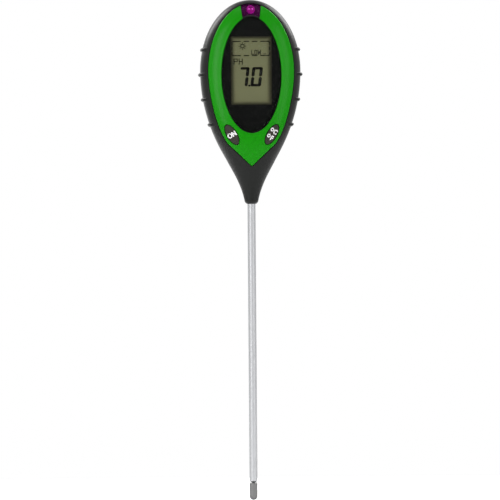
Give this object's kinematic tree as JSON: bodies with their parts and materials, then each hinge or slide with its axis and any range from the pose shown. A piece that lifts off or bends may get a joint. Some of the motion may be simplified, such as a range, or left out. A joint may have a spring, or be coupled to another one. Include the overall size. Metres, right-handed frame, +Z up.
{
  "type": "soil moisture meter",
  "caption": "Handheld garden soil tester: egg-shaped head with a display, sprung keys, a light sensor and a hinged battery door, on a long steel soil probe.",
  "frame": {"origin": "the tip of the soil probe, on the probe's axis", "axes": "+Z up the probe to the head, display and keys facing -Y, +X to the reader's right"},
  "size_m": [0.0626, 0.0348, 0.3],
  "materials": {
    "housing_black": "fine moulded texture, satin",
    "bezel_green": "glossy moulding",
    "display_window": "polished acrylic, printed black behind round a clear window",
    "sensor_window": "polished tinted acrylic",
    "key_rubber": "matt",
    "lcd_glass": "polished",
    "nylon_white": "moulded",
    "contact_rubber": "matt",
    "board_green": "solder mask",
    "epoxy_black": "glossy potting and chip packages",
    "light_cell": "coated ceramic",
    "battery_can": "painted can",
    "snap_black": "moulded vinyl",
    "lead_red": "vinyl insulation",
    "lead_black": "vinyl insulation",
    "lead_white": "vinyl insulation",
    "probe_steel": "drawn, fine lengthways grain",
    "tip_steel": "turned, darker than the tube",
    "insulator": "moulded",
    "collar_brass": "turned",
    "screw_steel": "zinc plated"
  },
  "bodies": {
    "housing": {"front_shell": "housing_black", "rear_shell": "housing_black", "bezel": "bezel_green", "display_lens": "display_window", "light_sensor_lens": "sensor_window", "photocell": "light_cell", "lcd_panel": "lcd_glass", "lcd_frame": "nylon_white", "zebra_strip_top": "contact_rubber", "zebra_strip_bottom": "contact_rubber", "circuit_board": "board_green", "controller_chip": "epoxy_black", "amplifier_chip": "epoxy_black", "switch_body_on": "epoxy_black", "switch_body_unit": "epoxy_black", "battery_9v": "battery_can", "battery_snap": "snap_black", "battery_lead_red": "lead_red", "battery_lead_black": "lead_black", "probe_tube": "probe_steel", "probe_tip": "tip_steel", "probe_insulator": "insulator", "probe_collar": "collar_brass", "thermistor": "epoxy_black", "tip_lead": "lead_white", "tube_lead": "lead_black", "thermistor_lead": "lead_white", "housing_screw_upper_left": "screw_steel", "housing_screw_upper_right": "screw_steel", "housing_screw_lower_left": "screw_steel", "housing_screw_lower_right": "screw_steel", "board_screw_upper_left": "screw_steel", "board_screw_upper_right": "screw_steel", "board_screw_lower_left": "screw_steel", "board_screw_lower_right": "screw_steel"},
    "key_on": {"key_on": "key_rubber", "switch_plunger_on": "nylon_white"},
    "key_unit": {"key_unit": "key_rubber", "switch_plunger_unit": "nylon_white"},
    "battery_door": {"battery_door": "housing_black"}
  },
  "joints": [
    {"name": "key_on_press", "type": "slide", "parent": "housing", "child": "key_on", "axis": [0, 1, 0], "range_m": [0, 0.0005], "stiffness_N_per_m": 2000},
    {"name": "key_unit_press", "type": "slide", "parent": "housing", "child": "key_unit", "axis": [0, 1, 0], "range_m": [0, 0.0005], "stiffness_N_per_m": 2000},
    {"name": "battery_door_swing", "type": "hinge", "parent": "housing", "child": "battery_door", "pos_m": [0, 0.0204, 0.2228], "axis": [-1, 0, 0], "range_deg": [0, 80]}
  ]
}
